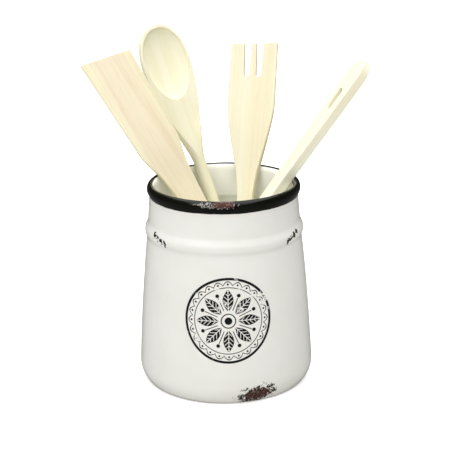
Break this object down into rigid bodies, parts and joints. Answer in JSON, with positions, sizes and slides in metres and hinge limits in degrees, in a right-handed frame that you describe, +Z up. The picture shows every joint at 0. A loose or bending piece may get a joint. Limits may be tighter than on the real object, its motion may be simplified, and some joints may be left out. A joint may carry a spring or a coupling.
{
  "type": "utensil crock",
  "caption": "Straight-necked glazed crock with a rolled rim, holding wooden kitchen tools that lean on the rim and lift out.",
  "frame": {"origin": "centre of the crock's foot, on the surface that it stands on", "axes": "+Z up along the crock's axis, -Y towards the front with the printed emblem, +X to the right seen from the front"},
  "size_m": [0.2295, 0.1686, 0.2825],
  "materials": {
    "glazed_stoneware": "glossy warm white glaze with a black glazed rim and a few worn chips",
    "turner_wood": "bare sanded beech",
    "spoon_wood": "bare sanded pale wood",
    "fork_wood": "bare sanded pale wood",
    "spatula_wood": "bare sanded pale wood"
  },
  "bodies": {
    "crock": {"crock": "glazed_stoneware"},
    "turner": {"turner": "turner_wood"},
    "spoon": {"spoon": "spoon_wood"},
    "fork": {"fork": "fork_wood"},
    "spatula": {"spatula": "spatula_wood"}
  },
  "joints": [
    {"name": "turner_lift", "type": "slide", "parent": "crock", "child": "turner", "axis": [-0.4843, -0.035, 0.8742], "range_m": [0, 0.19]},
    {"name": "spoon_lift", "type": "slide", "parent": "crock", "child": "spoon", "axis": [-0.3, 0.088, 0.9499], "range_m": [0, 0.175]},
    {"name": "fork_lift", "type": "slide", "parent": "crock", "child": "fork", "axis": [0.1079, 0.3902, 0.9144], "range_m": [0, 0.19]},
    {"name": "spatula_lift", "type": "slide", "parent": "crock", "child": "spatula", "axis": [0.3529, -0.1114, 0.929], "range_m": [0, 0.185]}
  ]
}
